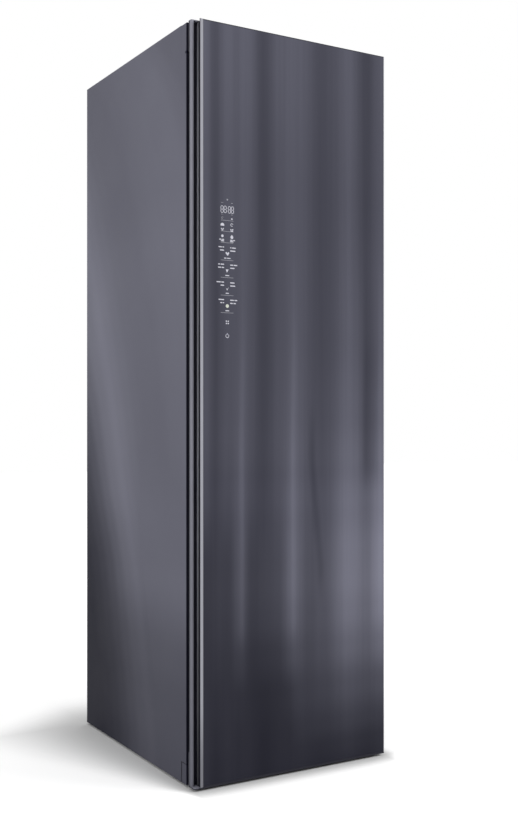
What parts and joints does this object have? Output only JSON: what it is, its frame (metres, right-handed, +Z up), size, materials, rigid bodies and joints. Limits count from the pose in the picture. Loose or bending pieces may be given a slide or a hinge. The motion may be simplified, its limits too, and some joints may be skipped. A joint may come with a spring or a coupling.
{
  "type": "clothes care steam cabinet",
  "caption": "Tall slim garment-care cabinet with a full-height dark glass door, recessed side grip, touch controls, shaking hanger rail, steam unit, heat pump and lift-out water tanks.",
  "frame": {"origin": "on the floor, under the centre of the cabinet's outline", "axes": "+Z up, -Y towards the door's front, +X to the right seen from the front"},
  "size_m": [0.565, 0.682, 1.85],
  "materials": {
    "side_paint": "satin charcoal metallic",
    "rear_paint": "satin grey",
    "cover_plastic": "fine moulded grain, dark grey",
    "trim_aluminium": "brushed",
    "front_glass": "dark tinted, polished",
    "frame_plastic": "satin grey",
    "liner_plastic": "light grey, semi-gloss",
    "grille_plastic": "satin grey",
    "felt": "pressed felt and foam",
    "seal_rubber": "matt black",
    "hose_rubber": "matt black",
    "foot_plastic": "black moulded",
    "hinge_steel": "zinc plated",
    "bush_plastic": "natural acetal",
    "rail_aluminium": "satin anodised",
    "motor_steel": "semi-gloss black",
    "light_diffuser": "opal diffuser",
    "tank_plastic": "smoky translucent",
    "tank_trim": "dark grey",
    "cassette_plastic": "satin",
    "duct_plastic": "black glass-filled",
    "coil_aluminium": "mill finish fins",
    "compressor_paint": "black enamel",
    "pump_plastic": "moulded grey",
    "pipe_copper": "drawn copper"
  },
  "bodies": {
    "cabinet": {"left_side_panel": "side_paint", "right_side_panel": "side_paint", "corner_covers": "cover_plastic", "top_cover": "side_paint", "back_panel": "rear_paint", "rear_service_cover": "rear_paint", "front_frame": "frame_plastic", "lower_front_panel": "rear_paint", "side_liners": "liner_plastic", "back_liner": "liner_plastic", "ceiling_liner": "liner_plastic", "insulation": "felt", "front_deck": "liner_plastic", "rear_deck": "liner_plastic", "outlet_grille": "grille_plastic", "base_pan": "rear_paint", "rear_feet": "foot_plastic", "hinge_brackets": "hinge_steel", "shaker_tray": "hinge_steel", "shaker_gearmotor": "motor_steel", "ceiling_light": "light_diffuser", "tank_shelf": "rear_paint", "air_duct": "duct_plastic", "heat_exchangers": "coil_aluminium", "blower_housing": "duct_plastic", "blower_motor": "motor_steel", "compressor": "compressor_paint", "steam_generator": "pump_plastic", "steam_nozzle": "grille_plastic", "water_pumps": "pump_plastic", "water_hoses": "hose_rubber", "refrigerant_pipes": "pipe_copper", "control_box": "pump_plastic", "cord_gland": "hose_rubber"},
    "door": {"door_stiles": "cover_plastic", "door_trims": "trim_aluminium", "door_top_cap": "cover_plastic", "door_bottom_cap": "cover_plastic", "door_glass": "front_glass", "door_liner": "liner_plastic", "door_core": "felt", "display_module": "pump_plastic", "door_gasket": "seal_rubber", "hinge_bushes": "bush_plastic"},
    "shaker": {"shaker_carriage": "rail_aluminium", "shaker_rack": "bush_plastic", "hanger_rail": "rail_aluminium"},
    "pinion": {"shaker_pinion": "bush_plastic"},
    "blower_wheel": {"blower_wheel": "duct_plastic"},
    "supply_tank": {"supply_tank": "tank_plastic"},
    "supply_lid": {"supply_tank_lid": "tank_trim"},
    "supply_bail": {"supply_tank_bail": "tank_trim"},
    "drain_tank": {"drain_tank": "tank_plastic"},
    "drain_lid": {"drain_tank_lid": "tank_trim"},
    "drain_bail": {"drain_tank_bail": "tank_trim"},
    "lint_filter": {"lint_filter": "grille_plastic"},
    "aroma_cassette": {"aroma_cassette": "cassette_plastic"},
    "garment_shelf": {"garment_shelf": "liner_plastic"},
    "front_left_foot": {"front_left_foot": "foot_plastic"},
    "front_right_foot": {"front_right_foot": "foot_plastic"}
  },
  "joints": [
    {"name": "door_hinge", "type": "hinge", "parent": "cabinet", "child": "door", "pos_m": [0.2705, -0.321, 0.9], "axis": [0, 0, 1], "range_deg": [0, 110]},
    {"name": "hanger_shake", "type": "slide", "parent": "cabinet", "child": "shaker", "axis": [1, 0, 0], "range_m": [-0.025, 0.025]},
    {"name": "pinion_turn", "type": "hinge", "parent": "cabinet", "child": "pinion", "pos_m": [0, -0.07737, 1.804], "axis": [0, 0, 1], "range_deg": [-110, 110]},
    {"name": "blower_spin", "type": "hinge", "parent": "cabinet", "child": "blower_wheel", "pos_m": [-0.025, 0.09, 0.232], "axis": [0, 1, 0], "continuous": true},
    {"name": "supply_tank_lift", "type": "slide", "parent": "cabinet", "child": "supply_tank", "axis": [0, 0, 1], "range_m": [0, 0.25]},
    {"name": "supply_lid_flip", "type": "hinge", "parent": "supply_tank", "child": "supply_lid", "pos_m": [-0.168, -0.182, 0.3686], "axis": [-1, 0, 0], "range_deg": [0, 100]},
    {"name": "supply_bail_turn", "type": "hinge", "parent": "supply_tank", "child": "supply_bail", "pos_m": [-0.168, -0.165, 0.3723], "axis": [-1, 0, 0], "range_deg": [0, 90]},
    {"name": "drain_tank_lift", "type": "slide", "parent": "cabinet", "child": "drain_tank", "axis": [0, 0, 1], "range_m": [0, 0.25]},
    {"name": "drain_lid_flip", "type": "hinge", "parent": "drain_tank", "child": "drain_lid", "pos_m": [0.168, -0.182, 0.3686], "axis": [-1, 0, 0], "range_deg": [0, 100]},
    {"name": "drain_bail_turn", "type": "hinge", "parent": "drain_tank", "child": "drain_bail", "pos_m": [0.168, -0.165, 0.3723], "axis": [-1, 0, 0], "range_deg": [0, 90]},
    {"name": "filter_lift", "type": "slide", "parent": "cabinet", "child": "lint_filter", "axis": [0, 0, 1], "range_m": [0, 0.12]},
    {"name": "aroma_lift", "type": "slide", "parent": "cabinet", "child": "aroma_cassette", "axis": [0, 0, 1], "range_m": [0, 0.06]},
    {"name": "shelf_lift", "type": "slide", "parent": "cabinet", "child": "garment_shelf", "axis": [0, 0, 1], "range_m": [0, 0.15]},
    {"name": "front_left_foot_turn", "type": "hinge", "parent": "cabinet", "child": "front_left_foot", "pos_m": [-0.235, -0.238, 0.02], "axis": [0, 0, 1], "continuous": true},
    {"name": "front_right_foot_turn", "type": "hinge", "parent": "cabinet", "child": "front_right_foot", "pos_m": [0.235, -0.238, 0.02], "axis": [0, 0, 1], "continuous": true}
  ],
  "couplings": [
    {"joint": "pinion_turn", "follows": "hanger_shake", "rad_per_m": -74.074}
  ]
}
